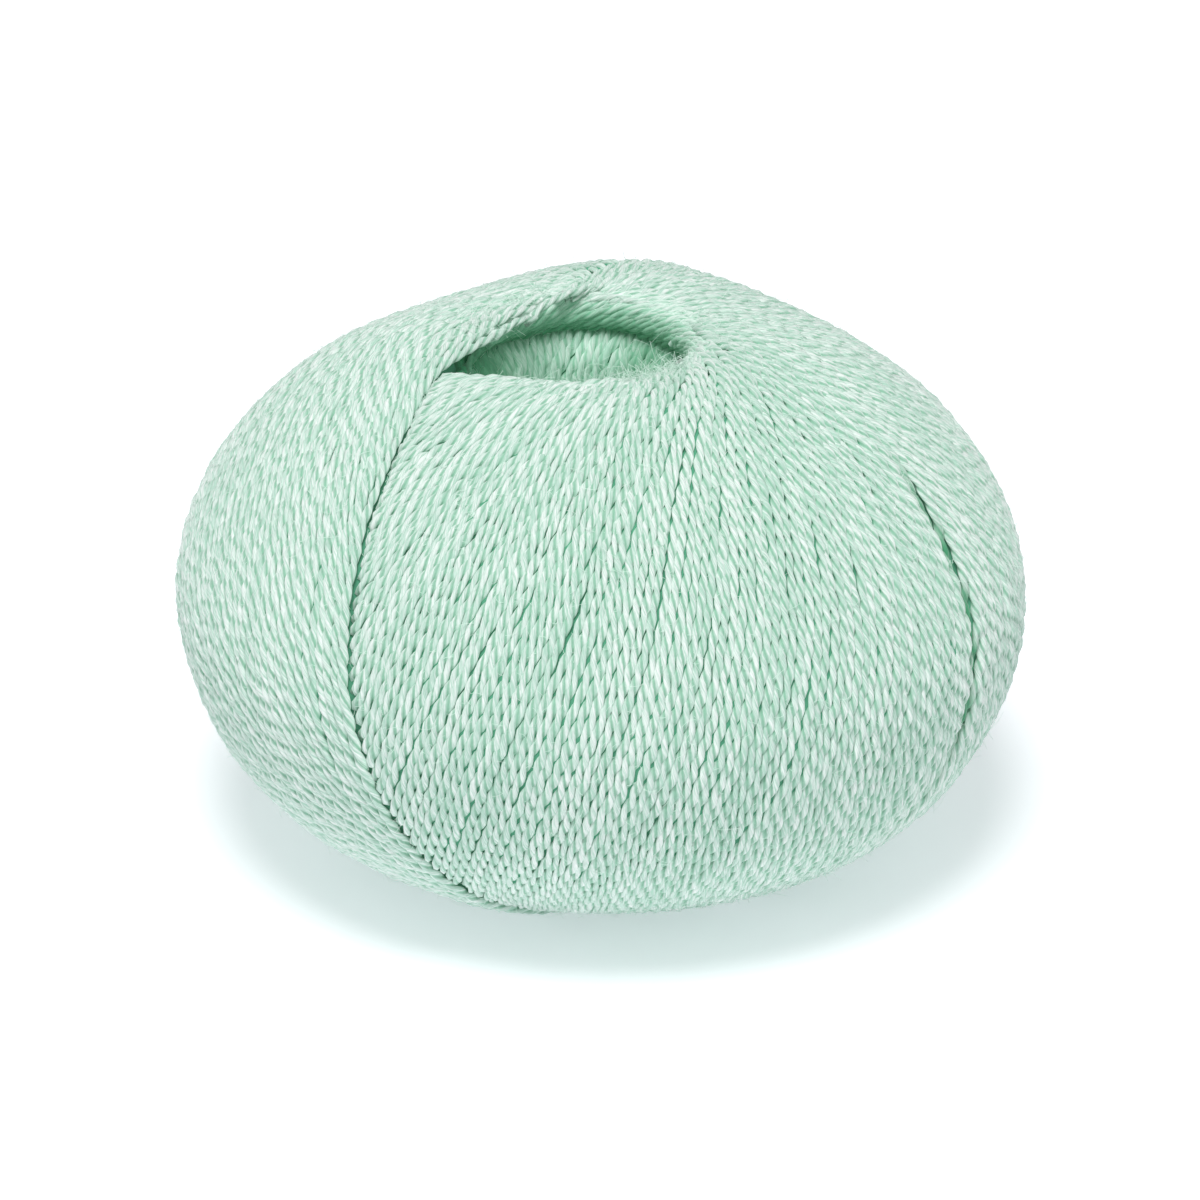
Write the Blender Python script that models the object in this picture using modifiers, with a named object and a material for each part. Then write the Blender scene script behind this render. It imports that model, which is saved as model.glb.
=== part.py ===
"""Ball of fine two-ply yarn, machine wound, with an open centre hole. Metres, Z up, resting on Z = 0.

The ball is one solid of its wound form. The strands run in loops that lean as they climb, just missing the
axis at both ends, which leaves the hole. At the front they climb to the right. The newest turns climb to the
left and lie over the left side and the back.
"""
import math

import bpy
from mathutils import Matrix, Vector

MM = 0.001

# Outer form, measured from the widest level of the ball.
BALL_RADIUS = 50.0 * MM
CROWN_RISE = 33.9 * MM  # height the outer curve would reach on the axis
BASE_DROP = 35.8 * MM
SIDE_POWER = 2.03
CROWN_POWER = 1.63
BASE_POWER = 2.31
FLAT_DEPTH = 32.9 * MM  # level of the small flat ring under the ball

# Hole and the rolled rims around it.
ROLL_START = 22.0 * MM  # radius where the outer curve turns into the rim
ROLL_REACH = 5.0 * MM
TOP_LIP_RADIUS = 11.6 * MM
TOP_LIP_HEIGHT = 27.5 * MM
BASE_LIP_HEIGHT = 30.4 * MM
LIP_FULLNESS = 3.1 * MM
NEWEST_LIP_RADIUS = 11.4 * MM
CHANNEL_RADIUS = 12.4 * MM  # the hole is a little wider below its lips
NEWEST_CHANNEL_RADIUS = 13.3 * MM
CHANNEL_STEP = 1.6 * MM
CHANNEL_MARGIN = 1.2 * MM  # points this near the wall of the hole belong to it

# Winding.
LOOP_LEAN = math.radians(18.0)  # lean of the newest loop's plane from upright
EDGE_AZIMUTH = math.radians(-124.5)  # where the newest turns end, at the widest level
GROOVE_AZIMUTH = EDGE_AZIMUTH + math.radians(90.0)
OLDEST_AGE = math.radians(265.0)  # older turns come out from under the newest ones from here on
LAYER = 0.9 * MM  # one layer of yarn, the step at the edge of the newest turns
UNDER_NEWEST = 1.2 * LAYER  # how deep the covered turns lie
LEAN_SHARE = 0.93  # share of the full sideways turn that the mesh lines make
GROOVE_DEPTH = 1.1 * MM
GROOVE_HALF_HEIGHT = 22.0 * MM
GROOVE_FULL_HEIGHT = 13.0 * MM  # half the height over which the groove is at its deepest
GROOVE_LEVEL = 2.5 * MM
BUNDLE_RELIEF = 0.24 * MM  # height of the strand bundles over the gaps between them
BUNDLE_PROFILE = (-1.0, 0.6, 0.6)  # one gap and two crests, column by column
BUNDLE_FADE_START = 34.0 * MM  # the bundles close up from this radius inwards
BUNDLE_FADE_END = 8.0 * MM

AXIS_X = 0.34 * MM  # the winding axis, so that the finished ball is centred on the origin

# Uneven set of the soft ball.
HOLE_SHIFT = -2.4 * MM  # the hole sits left of the ball's middle
RIM_TILT = 0.062  # the front rim stands higher than the back one
RIM_INNER = 17.0 * MM
RIM_OUTER = 31.0 * MM
RIM_LOW = -10.0 * MM  # the top rim moves most above RIM_HIGH and not at all below RIM_LOW
RIM_HIGH = 24.0 * MM
# Place from the ball's middle, reach and rise of each soft swell or hollow, in millimetres.
SWELLS = (
    {"x": 2.5, "y": 21.0, "z": 30.0, "reach": 12.0, "rise": 1.5},  # crest behind the hole
    {"x": 23.0, "y": 16.0, "z": 26.0, "reach": 13.0, "rise": -1.3},  # right shoulder
    {"x": -17.0, "y": 18.0, "z": 28.0, "reach": 10.0, "rise": -1.4},  # left shoulder
    {"x": -42.0, "y": 10.0, "z": 16.0, "reach": 18.0, "rise": 0.8},  # left side
    {"x": 47.0, "y": 4.0, "z": 6.0, "reach": 18.0, "rise": -0.6},  # right side
    {"x": 27.0, "y": -14.0, "z": -28.0, "reach": 14.0, "rise": 1.2},  # right side below
)
# The narrow end of the hole, at the left: place, half length, half width and depth in millimetres. It is at
# its full depth up to one share of its size and fades out at another.
HOLE_TAIL = {"x": -13.0, "y": -3.0, "along": 9.0, "across": 6.6, "depth": 3.6, "full": 0.3, "end": 1.3}

COLUMNS = 96
OUTER_ROWS = 13  # on each side of the widest level
ROLL_ROWS = 5
CHANNEL_ROWS = 6
GATHER = math.radians(11.25)  # columns this near an edge or the groove are drawn towards it
GATHER_POWER = 1.75
ON_LINE = math.radians(0.5)  # a column this near an edge or the groove lies on it
FINE_STEPS = 400  # steps in which the outer curve is measured
CUT_SIZE = 200.0 * MM
SHARP_ANGLE = math.radians(35.0)


def outer_height(radius, rise, power):
    return rise * max(0.0, 1.0 - (radius / BALL_RADIUS) ** SIDE_POWER) ** (1.0 / power)


def outer_curve(rise, power):
    """Points of the outer curve from the widest level to the rim, spaced evenly along it."""
    fine = []
    for step in range(FINE_STEPS + 1):
        radius = BALL_RADIUS * math.cos(math.pi / 2 * step / FINE_STEPS) ** (2.0 / SIDE_POWER)
        if radius >= ROLL_START:
            fine.append((radius, outer_height(radius, rise, power)))
    fine.append((ROLL_START, outer_height(ROLL_START, rise, power)))
    lengths = [0.0]
    for (r0, z0), (r1, z1) in zip(fine, fine[1:]):
        lengths.append(lengths[-1] + math.hypot(r1 - r0, z1 - z0))
    points = []
    for row in range(OUTER_ROWS + 1):
        target = lengths[-1] * row / OUTER_ROWS
        spot = next((i for i in range(1, len(fine)) if lengths[i] >= target), len(fine) - 1)
        share = (target - lengths[spot - 1]) / (lengths[spot] - lengths[spot - 1])
        (r0, z0), (r1, z1) = fine[spot - 1], fine[spot]
        points.append((r0 + (r1 - r0) * share, z0 + (z1 - z0) * share))
    return points


def roll_curve(start, before, lip_radius, lip_height):
    """Rim from the outer curve over and down to the lip, without its first point."""
    run = math.hypot(start[0] - before[0], start[1] - before[1])
    ahead = ((start[0] - before[0]) / run, (start[1] - before[1]) / run)
    first = (start[0] + ahead[0] * ROLL_REACH, start[1] + ahead[1] * ROLL_REACH)
    second = (lip_radius, lip_height + LIP_FULLNESS)
    points = []
    for row in range(1, ROLL_ROWS + 1):
        t = row / ROLL_ROWS
        u = 1.0 - t
        weights = (u ** 3, 3 * u * u * t, 3 * u * t * t, t ** 3)
        corners = (start, first, second, (lip_radius, lip_height))
        points.append(tuple(sum(w * c[axis] for w, c in zip(weights, corners)) for axis in (0, 1)))
    return points


def section(lip_radius, channel_radius):
    """Closed half section of the ball at +X: down its outside from the top lip, then up the hole."""
    crown = outer_curve(CROWN_RISE, CROWN_POWER)
    base = outer_curve(BASE_DROP, BASE_POWER)
    crown += roll_curve(crown[-1], crown[-2], lip_radius, TOP_LIP_HEIGHT)
    base += roll_curve(base[-1], base[-2], lip_radius, BASE_LIP_HEIGHT)
    points = list(reversed(crown)) + [(radius, -drop) for radius, drop in base[1:]]
    top = TOP_LIP_HEIGHT - CHANNEL_STEP
    bottom = CHANNEL_STEP - BASE_LIP_HEIGHT
    for row in range(CHANNEL_ROWS + 1):
        points.append((channel_radius, bottom + (top - bottom) * row / CHANNEL_ROWS))
    return points


def smooth_step(value, low, high):
    t = min(1.0, max(0.0, (value - low) / (high - low)))
    return t * t * (3.0 - 2.0 * t)


def wrap(angle):
    return (angle + math.pi) % (2.0 * math.pi) - math.pi


def gathered(angle, line):
    """Angle of a column after the columns near a line are drawn towards it."""
    away = wrap(angle - line)
    if abs(away) >= GATHER:
        return angle
    return line + math.copysign(GATHER * (abs(away) / GATHER) ** GATHER_POWER, away)


def in_channel(radius, height):
    return radius < CHANNEL_RADIUS + CHANNEL_MARGIN and -BASE_LIP_HEIGHT < height < TOP_LIP_HEIGHT


def sideways_turn(radius, height, lip_radius, onward):
    """Angle by which a strand has moved round the axis from where it crosses the widest level."""
    lip_height = TOP_LIP_HEIGHT + LIP_FULLNESS / 2 if height > 0 else BASE_LIP_HEIGHT + LIP_FULLNESS / 2
    if in_channel(radius, height):
        end = math.asin(LEAN_SHARE)
        share = (TOP_LIP_HEIGHT - height) / (TOP_LIP_HEIGHT + BASE_LIP_HEIGHT)
        full = 2.0 * math.pi if onward else 0.0
        return end + share * (full - 2.0 * end)
    return math.asin(LEAN_SHARE * max(-1.0, min(1.0, height * lip_radius / (lip_height * radius))))


def turned_body(name, points, collection):
    """Solid of revolution of a half section, as an applied Screw."""
    mesh = bpy.data.meshes.new(name)
    corners = [(radius, 0.0, height) for radius, height in points]
    edges = [(i, (i + 1) % len(points)) for i in range(len(points))]
    mesh.from_pydata(corners, edges, [])
    body = bpy.data.objects.new(name, mesh)
    collection.objects.link(body)
    screw = body.modifiers.new("turn", "SCREW")
    screw.steps = COLUMNS
    screw.render_steps = COLUMNS
    screw.use_merge_vertices = True
    screw.merge_threshold = 0.00001
    bpy.context.view_layer.objects.active = body
    bpy.ops.object.modifier_apply(modifier=screw.name)
    return body


def wind(body, side, lip_radius, onward, raised):
    """Turns each column to run along the strands and raises the strand bundles.

    side is +1 where strands climb to the right and -1 where they climb to the left."""
    spacing = 2.0 * math.pi / COLUMNS
    normals = [vertex.normal.copy() for vertex in body.data.vertices]
    for vertex, normal in zip(body.data.vertices, normals):
        x, y, height = vertex.co
        radius = math.hypot(x, y)
        column = round(math.atan2(y, x) / spacing)
        strand = gathered(EDGE_AZIMUTH + column * spacing, EDGE_AZIMUTH + math.pi)
        strand = gathered(strand, GROOVE_AZIMUTH)
        turn = side * sideways_turn(radius, height, lip_radius, onward)
        out = raised(strand, radius, height)
        bundle = BUNDLE_PROFILE[column % len(BUNDLE_PROFILE)]
        out += bundle * BUNDLE_RELIEF * smooth_step(radius, BUNDLE_FADE_END, BUNDLE_FADE_START)
        outward = (normal.x * x + normal.y * y) / math.hypot(x, y)
        radius += outward * out
        height += normal.z * out
        vertex.co = (radius * math.cos(strand + turn), radius * math.sin(strand + turn), height)


def front_raise(strand, radius, height):
    """Front turns: oldest at the left, newest just before the loop's other side, with the groove between."""
    age = (strand - EDGE_AZIMUTH) % (2.0 * math.pi)
    if math.pi + ON_LINE < age < OLDEST_AGE:
        return -UNDER_NEWEST
    if age >= OLDEST_AGE:
        age -= 2.0 * math.pi
    out = LAYER * (age / math.pi - 0.5)
    if abs(wrap(strand - GROOVE_AZIMUTH)) < ON_LINE:
        away = abs(height - GROOVE_LEVEL)
        out -= GROOVE_DEPTH * (1.0 - smooth_step(away, GROOVE_FULL_HEIGHT, GROOVE_HALF_HEIGHT))
    return 0.0 if in_channel(radius, height) else out


def newest_raise(strand, radius, height):
    """Newest turns: one layer proud at their edge, sinking to the old level right round the back."""
    age = (EDGE_AZIMUTH - strand) % (2.0 * math.pi)
    out = LAYER * (0.5 - min(age, math.pi) / math.pi)
    return 0.0 if in_channel(radius, height) else out


def open_tail(body):
    """Sinks the older turns beside the newest edge, where the hole runs out into a narrow tail."""
    ahead = Vector((math.cos(EDGE_AZIMUTH), math.sin(EDGE_AZIMUTH)))
    centre = Vector((HOLE_TAIL["x"], HOLE_TAIL["y"])) * MM
    for vertex in body.data.vertices:
        away = Vector(vertex.co[:2]) - centre
        along = away.dot(ahead) / (HOLE_TAIL["along"] * MM)
        across = (away.x * ahead.y - away.y * ahead.x) / (HOLE_TAIL["across"] * MM)
        share = 1.0 - smooth_step(math.hypot(along, across), HOLE_TAIL["full"], HOLE_TAIL["end"])
        if vertex.co.z > 0.0:
            vertex.co.z -= HOLE_TAIL["depth"] * MM * share


def settle(body):
    """The soft ball's uneven set: swells, the hole moved to the left and its front rim lifted."""
    for vertex in body.data.vertices:
        place = vertex.co.copy()
        for swell in SWELLS:
            away = (place - Vector((swell["x"], swell["y"], swell["z"])) * MM).length / (swell["reach"] * MM)
            vertex.co += place.normalized() * swell["rise"] * MM * math.exp(-away * away)
        x, y, height = vertex.co
        near = 1.0 - smooth_step(math.hypot(x, y), RIM_INNER, RIM_OUTER)
        high = smooth_step(height, RIM_LOW, RIM_HIGH)
        vertex.co.x += HOLE_SHIFT * near * high
        vertex.co.z -= RIM_TILT * y * near * high


def block(name, matrix, collection):
    bpy.ops.mesh.primitive_cube_add(size=CUT_SIZE)
    cutter = bpy.context.active_object
    cutter.name = name
    cutter.data.name = name
    cutter.data.transform(matrix)
    for holder in cutter.users_collection:
        holder.objects.unlink(cutter)
    collection.objects.link(cutter)
    return cutter


def combine(body, other, operation):
    boolean = body.modifiers.new(other.name, "BOOLEAN")
    boolean.operation = operation
    boolean.solver = "EXACT"
    boolean.object = other
    bpy.context.view_layer.objects.active = body
    bpy.ops.object.modifier_apply(modifier=boolean.name)


for old in list(bpy.data.objects):
    bpy.data.objects.remove(old, do_unlink=True)
ball_parts = bpy.data.collections.new("yarn_ball")
cutters = bpy.data.collections.new("cutters")
bpy.context.scene.collection.children.link(ball_parts)
bpy.context.scene.collection.children.link(cutters)

ball = turned_body("yarn_ball", section(TOP_LIP_RADIUS, CHANNEL_RADIUS), ball_parts)
wind(ball, 1.0, TOP_LIP_RADIUS, True, front_raise)
settle(ball)
open_tail(ball)

newest = turned_body("newest_turns", section(NEWEST_LIP_RADIUS, NEWEST_CHANNEL_RADIUS), cutters)
wind(newest, -1.0, NEWEST_LIP_RADIUS, False, newest_raise)
settle(newest)

# The newest loop lies in one leaning plane; the newest turns stop there.
toward = Matrix.Rotation(EDGE_AZIMUTH + math.pi / 2, 4, "Z") @ Matrix.Rotation(-LOOP_LEAN, 4, "Y")
half = block("edge_cut", toward @ Matrix.Translation((CUT_SIZE / 2, 0.0, 0.0)), cutters)
combine(newest, half, "DIFFERENCE")
combine(ball, newest, "UNION")

floor_cut = block("flat_cut", Matrix.Translation((0.0, 0.0, -FLAT_DEPTH - CUT_SIZE / 2)), cutters)
combine(ball, floor_cut, "DIFFERENCE")
ball.data.transform(Matrix.Translation((AXIS_X, 0.0, FLAT_DEPTH)))
ball.data.update()

wool = bpy.data.materials.new("mint_wool")
wool.use_nodes = True
shade = wool.node_tree.nodes["Principled BSDF"]
shade.inputs["Base Color"].default_value = (0.52, 0.71, 0.60, 1.0)
shade.inputs["Roughness"].default_value = 0.9
ball.data.materials.clear()
ball.data.materials.append(wool)
for face in ball.data.polygons:
    face.use_smooth = True
ball.data.set_sharp_from_angle(angle=SHARP_ANGLE)

for cutter in cutters.objects:
    cutter.hide_render = True
    cutter.display_type = "WIRE"
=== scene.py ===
import math

import bmesh
import bpy
import numpy as np
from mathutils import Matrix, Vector
from mathutils.bvhtree import BVHTree


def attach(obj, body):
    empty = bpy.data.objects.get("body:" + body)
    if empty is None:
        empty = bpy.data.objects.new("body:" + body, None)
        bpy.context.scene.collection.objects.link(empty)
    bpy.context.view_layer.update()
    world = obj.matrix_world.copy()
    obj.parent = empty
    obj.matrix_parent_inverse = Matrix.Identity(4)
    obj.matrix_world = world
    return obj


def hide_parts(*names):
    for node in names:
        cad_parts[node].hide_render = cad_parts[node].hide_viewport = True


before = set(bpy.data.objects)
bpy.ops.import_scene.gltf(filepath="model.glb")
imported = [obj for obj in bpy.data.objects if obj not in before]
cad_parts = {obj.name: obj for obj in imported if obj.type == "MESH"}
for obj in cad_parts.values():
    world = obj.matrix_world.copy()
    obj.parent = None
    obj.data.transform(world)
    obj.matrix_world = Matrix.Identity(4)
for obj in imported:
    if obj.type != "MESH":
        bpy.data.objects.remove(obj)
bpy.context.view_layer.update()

# -----------------------------------------------------------------------------------------------------------
# The wound turns. One long strand of two-ply wool is wound by machine in leaning loops that just miss the
# middle of the ball at both ends, each loop a little further round than the last. Newer loops lie on older
# ones. Each strand is drawn here as its own twisted tube along its loop, on the surface of the wound form.
MM = 0.001
CENTRE = Vector((0.34 * MM, 0.0, 32.9 * MM))  # middle of the ball at its widest level
HOLE_SHIFT = -2.4 * MM  # the hole at the top sits left of the middle
SHIFT_RISE = (0.1, 0.9)  # share of the way up to the top over which the hole's axis moves across to there
EDGE = math.radians(-124.5)  # where the newest loop crosses the widest level at the left front
EDGE_LEAN = math.radians(18.0)  # lean of the newest loop's plane from upright
TOP_LEAN = math.radians(24.2)  # lean of the other loops at the top, seen from the middle of the ball
BASE_LEAN = math.radians(19.6)  # and at the base
FULL_TURN = 2.0 * math.pi
QUARTER_TURN = math.pi / 2
NEWEST_SPAN = math.radians(50.0)  # loops up to this age pass nearer to the middle of the hole
STEEP_SPAN = math.radians(100.0)  # the falling halves of loops up to this age are as steep as the newest
STEEP_END = math.radians(150.0)  # and from this age on they lie as the others do
FALL_SETS_IN = (0.0, 0.35)  # cosine of the turn to the falling half's middle, over which this sets in

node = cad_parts["yarn_ball"]
surface = BVHTree.FromPolygons([v.co for v in node.data.vertices], [p.vertices for p in node.data.polygons])
rng = np.random.default_rng(7)


def smooth_step(value, low, high):
    t = np.clip((value - low) / (high - low), 0.0, 1.0)
    return t * t * (3.0 - 2.0 * t)


def newness(age):
    """1 for the newest loop, 0 for the loops past NEWEST_SPAN."""
    return 1.0 - smooth_step(age, 0.0, NEWEST_SPAN)


def lean_at(age, along):
    """Lean of a loop's plane at each angle along it."""
    rise = np.sin(along)
    settled = (TOP_LEAN + BASE_LEAN) / 2 + (TOP_LEAN - BASE_LEAN) / 2 * rise
    steep = 1.0 - smooth_step(age, STEEP_SPAN, STEEP_END)
    falling = smooth_step(-np.cos(along), *FALL_SETS_IN) * steep
    return settled + (EDGE_LEAN - settled) * np.maximum(newness(age), falling)


def loop_rays(age, along):
    """Start and direction of the ray from the ball's middle to each point of a loop.

    The age of a loop is the turn from the newest one. Along it, the strand climbs from a quarter turn
    below the widest level to a quarter turn above it, and then falls."""
    facing = EDGE + math.pi - age
    rise = np.sin(along)
    lean = lean_at(age, along)
    out = np.cos(along)
    aside = rise * np.sin(lean)
    direction = np.stack((out * np.cos(facing) - aside * np.sin(facing),
                          out * np.sin(facing) + aside * np.cos(facing), rise * np.cos(lean)), -1)
    start = np.zeros_like(direction) + np.array(CENTRE)
    start[..., 0] += HOLE_SHIFT * smooth_step(rise, *SHIFT_RISE) * (1.0 - newness(age))
    return start, direction


def outside_hits(starts, directions):
    """Distance and normal of the outermost surface along each ray."""
    reach = 90.0 * MM
    shape = starts.shape[:-1]
    far = np.zeros(shape)
    normals = np.zeros(starts.shape)
    for index in np.ndindex(shape):
        start = Vector(starts[index])
        ray = Vector(directions[index])
        place, normal, face, length = surface.ray_cast(start + ray * reach, -ray)
        far[index] = reach - length if place else np.nan
        normals[index] = normal if place else ray
    return far, normals


def smoothed(values, axis, width, around):
    """Gaussian average along an axis, over width samples, joined end to end or with its ends held."""
    reach = int(3 * width + 1)
    kernel = np.exp(-0.5 * (np.arange(-reach, reach + 1) / width) ** 2)
    kernel /= kernel.sum()
    pad = [(0, 0)] * values.ndim
    pad[axis] = (reach, reach)
    padded = np.pad(values, pad, mode="wrap" if around else "edge")
    return np.apply_along_axis(lambda line: np.convolve(line, kernel, "valid"), axis, padded)


# The form as the loops see it: how far its surface is from the ball's middle, by age of loop and angle
# along it. Over the holes, where a ray finds no surface near the usual one, what lies beside them fills it.
AGES = 192
ALONG = 240
OFF_THE_FORM = 3.0 * MM  # a surface this far from the usual one is the inside of the hole
FILLED_OVER = 4.0  # samples
LEAST_KNOWN = 0.01  # share of the samples round about that have a surface, or else the usual one is taken
map_ages = np.arange(AGES + 1) * FULL_TURN / AGES
map_along = np.arange(ALONG) * FULL_TURN / ALONG
grid_age, grid_along = np.meshgrid(map_ages, map_along, indexing="ij")
rays_from, rays_along = loop_rays(grid_age, grid_along)
form_far, form_normal = outside_hits(rays_from, rays_along)
nominal = np.nanmedian(form_far, axis=0)
in_hole = ~(np.abs(form_far - nominal) < OFF_THE_FORM)


def spread(values):
    return smoothed(smoothed(values, 0, FILLED_OVER, False), 1, FILLED_OVER, True)


known = np.maximum(spread((~in_hole).astype(float)), 1e-6)
around = spread(np.where(in_hole, 0.0, form_far))
around_normal = spread(np.where(in_hole[..., None], 0.0, form_normal))
form_far = np.where(in_hole, np.where(known > LEAST_KNOWN, around / known, nominal), form_far)
form_normal = np.where(in_hole[..., None], around_normal / known[..., None], form_normal)
form_normal = np.where((known > LEAST_KNOWN)[..., None], form_normal, rays_along)


def taut(distances, open_here):
    """Distances of a band drawn tight round the outline that they give, which bridges the open stretches."""
    corners = [(far * math.cos(turn), far * math.sin(turn), turn)
               for far, turn, is_open in zip(distances, map_along, open_here) if not is_open]
    start = max(range(len(corners)), key=lambda index: corners[index][0])
    corners = corners[start:] + corners[:start]
    hull = []
    for corner in corners + corners[:1]:
        while len(hull) > 1 and ((hull[-1][0] - hull[-2][0]) * (corner[1] - hull[-2][1])
                                 <= (hull[-1][1] - hull[-2][1]) * (corner[0] - hull[-2][0])):
            hull.pop()
        hull.append(corner)
    turns = np.unwrap([corner[2] for corner in hull])
    x = np.array([corner[0] for corner in hull])
    y = np.array([corner[1] for corner in hull])
    wanted = turns[0] + np.mod(map_along - turns[0], FULL_TURN)
    low = np.clip(np.searchsorted(turns, wanted, side="right") - 1, 0, len(hull) - 2)
    run_x = x[low + 1] - x[low]
    run_y = y[low + 1] - y[low]
    return (x[low] * run_y - y[low] * run_x) / (np.cos(wanted) * run_y - np.sin(wanted) * run_x)


# Near the holes the strands are drawn tight over what lies under them, the newest ones most.
NEAR_HOLE = (0.72, 0.90)  # rise of the loop over which the pull sets in
OLD_PULL = 0.4  # share of the pull that the older loops take
FAR_EVENED = (1.5, 2.0)  # samples over which the form is evened out, from loop to loop and along them
NORMAL_EVENED = (2.5, 3.0)
tight = np.array([taut(column, is_open) for column, is_open in zip(form_far, in_hole)])
by_hole = smooth_step(np.abs(np.sin(map_along)), *NEAR_HOLE)
pull = OLD_PULL + (1.0 - OLD_PULL) * newness(map_ages)
form_far = form_far + (tight - form_far) * by_hole * pull[:, None]
form_far = smoothed(smoothed(form_far, 0, FAR_EVENED[0], False), 1, FAR_EVENED[1], True)
form_normal = smoothed(smoothed(form_normal, 0, NORMAL_EVENED[0], False), 1, NORMAL_EVENED[1], True)


def from_map(values, age, along):
    """Reads the map between its samples."""
    a = np.clip(age / FULL_TURN * AGES, 0.0, AGES - 1e-6)
    b = np.mod(along / FULL_TURN * ALONG, ALONG)
    a0 = a.astype(int)
    b0 = b.astype(int) % ALONG
    b1 = (b0 + 1) % ALONG
    fa = (a - a0).reshape(a.shape + (1,) * (values.ndim - 2))
    fb = (b - np.floor(b)).reshape(fa.shape)
    low = values[a0, b0] * (1 - fb) + values[a0, b1] * fb
    high = values[a0 + 1, b0] * (1 - fb) + values[a0 + 1, b1] * fb
    return low * (1 - fa) + high * fa


# How the strands share the room: where the loops come together, some strands sink under their neighbours.
LOOPS = 130  # loops in half a turn round the ball, which covers it once
CLOSEST = 0.90 * MM  # strands pressed closer than this push some of them under
STEPS = 720  # along each loop
EVEN_MIX = 0.61803  # the golden share spreads the strands that sink evenly among the others
UNEVEN_MIX = 0.02  # by how much each one's turn to sink strays from that
LEAST_WIDTH = 0.02  # share of a strand's room that it keeps once it has sunk
ROOM = (0.035, 1.3)  # least and most room for each strand, as a share of CLOSEST
GIVES_WAY = (-0.10, 0.06)  # spare room at which a strand has no place at the top, and its full one
SINKS = (-0.13, 0.05)  # spare room at which it lies fully sunk, and not at all
SLIP = 11.0  # steps over which the strands slip aside as their neighbours sink
steps_along = np.arange(STEPS + 1) * FULL_TURN / STEPS - QUARTER_TURN
count = 2 * LOOPS
priority = (np.arange(count) * EVEN_MIX + rng.normal(0.0, UNEVEN_MIX, count)) % 1.0
all_round = np.append(map_along, FULL_TURN)
typical_far = np.interp(steps_along % FULL_TURN, all_round, np.append(nominal, nominal[0]))
from_axis = typical_far * np.abs(np.cos(steps_along))
room = np.clip(from_axis * math.pi / LOOPS * math.cos(TOP_LEAN) / CLOSEST, *ROOM)
spare = room[None, :] - priority[:, None]
share = smooth_step(spare, *GIVES_WAY)
sunk = 1.0 - smooth_step(spare, *SINKS)
widths = share + LEAST_WIDTH
turned = np.cumsum(widths, axis=0) - widths
ages = turned / widths.sum(axis=0) * FULL_TURN
even_ages = np.arange(count)[:, None] * FULL_TURN / count
ages = even_ages + smoothed(ages - even_ages, 1, SLIP, True)

# Size of a strand, which swells where its neighbours leave it room.
STRAND_RADIUS = 0.61 * MM
FILL = 0.625  # thickness of a strand, as a share of the room between its neighbours
FULLNESS = (0.88, 1.36)  # least and most, as a share of STRAND_RADIUS
SWELL = 4.0  # steps over which a strand swells
STRAND_DEPTH = 0.46 * MM  # middle of a strand below the wound form's surface
PLY_TURN = 4.7 * MM  # length of one full turn of the two plies


def shown_neighbours():
    """Room between the nearest strands at either side that lie at the top, by strand and by step along it."""
    gaps = np.full(ages.shape, FULL_TURN / count)
    for step in range(STEPS + 1):
        on_top = np.flatnonzero(share[:, step] > 0.5)
        if len(on_top) < 3:
            continue
        at = ages[on_top, step]
        after = np.diff(np.append(at, at[0] + FULL_TURN))
        gaps[on_top, step] = np.maximum(after, np.roll(after, 1))
    return smoothed(gaps, 1, SWELL, True)


wide_room = shown_neighbours() * typical_far * np.abs(np.cos(steps_along)) * math.cos(TOP_LEAN)
fullness = np.clip(FILL * wide_room / STRAND_RADIUS, *FULLNESS)

# The groove at the right front, where the turns part. Its left side slopes down over GROOVE_WIDTH, and its
# right side is steep.
GROOVE_FACING = math.radians(-30.3)  # where it crosses the widest level
GROOVE_LEAN = math.radians(11.5)
GROOVE_LEVEL = 0.5 * MM
GROOVE_HALF_HEIGHT = 23.0 * MM
GROOVE_BEND = 3.5 * MM  # its lower end curves this far towards the front
GROOVE_WIDTH = 1.45 * MM
GROOVE_DEPTH = 0.8 * MM
GROOVE_STEEPNESS = 2.2  # of its right side against its left one
GROOVE_SIDE = (0.35, 1.1)  # where a side starts and ends, from the middle, as a share of GROOVE_WIDTH
GROOVE_RUN_OUT = 0.6  # share of its half height from which it grows shallower


def in_groove(points, width):
    """1 along the middle of the groove, where the strands dive under, and 0 beside it."""
    away = points - np.array(CENTRE)
    ahead = away[:, 0] * math.cos(GROOVE_FACING) + away[:, 1] * math.sin(GROOVE_FACING)
    aside = -away[:, 0] * math.sin(GROOVE_FACING) + away[:, 1] * math.cos(GROOVE_FACING)
    bend = GROOVE_BEND * (np.minimum(away[:, 2], 0.0) / GROOVE_HALF_HEIGHT) ** 2
    beside = (aside * math.cos(GROOVE_LEAN) - away[:, 2] * math.sin(GROOVE_LEAN) + bend) / width
    beside = np.where(beside > 0.0, beside * GROOVE_STEEPNESS, -beside)
    level = np.abs(away[:, 2] - GROOVE_LEVEL)
    open_here = (1.0 - smooth_step(level, GROOVE_RUN_OUT * GROOVE_HALF_HEIGHT, GROOVE_HALF_HEIGHT))
    return open_here * (ahead > 0.0) * (1.0 - smooth_step(beside, *GROOVE_SIDE))


def loop_path(index, first, last):
    """Angles, middle line, normals, sinking and fullness of one strand between two angles along its loop."""
    keep = (steps_along >= first - 1e-9) & (steps_along <= last + 1e-9)
    along = steps_along[keep]
    age = ages[index, keep]
    centre_line, direction = loop_rays(age, along)
    far = from_map(form_far, age, along)
    normal = from_map(form_normal, age, along)
    normal /= np.linalg.norm(normal, axis=-1, keepdims=True)
    place = centre_line + direction * far[:, None]
    return along, place, normal, sunk[index, keep], fullness[index, keep]


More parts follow.
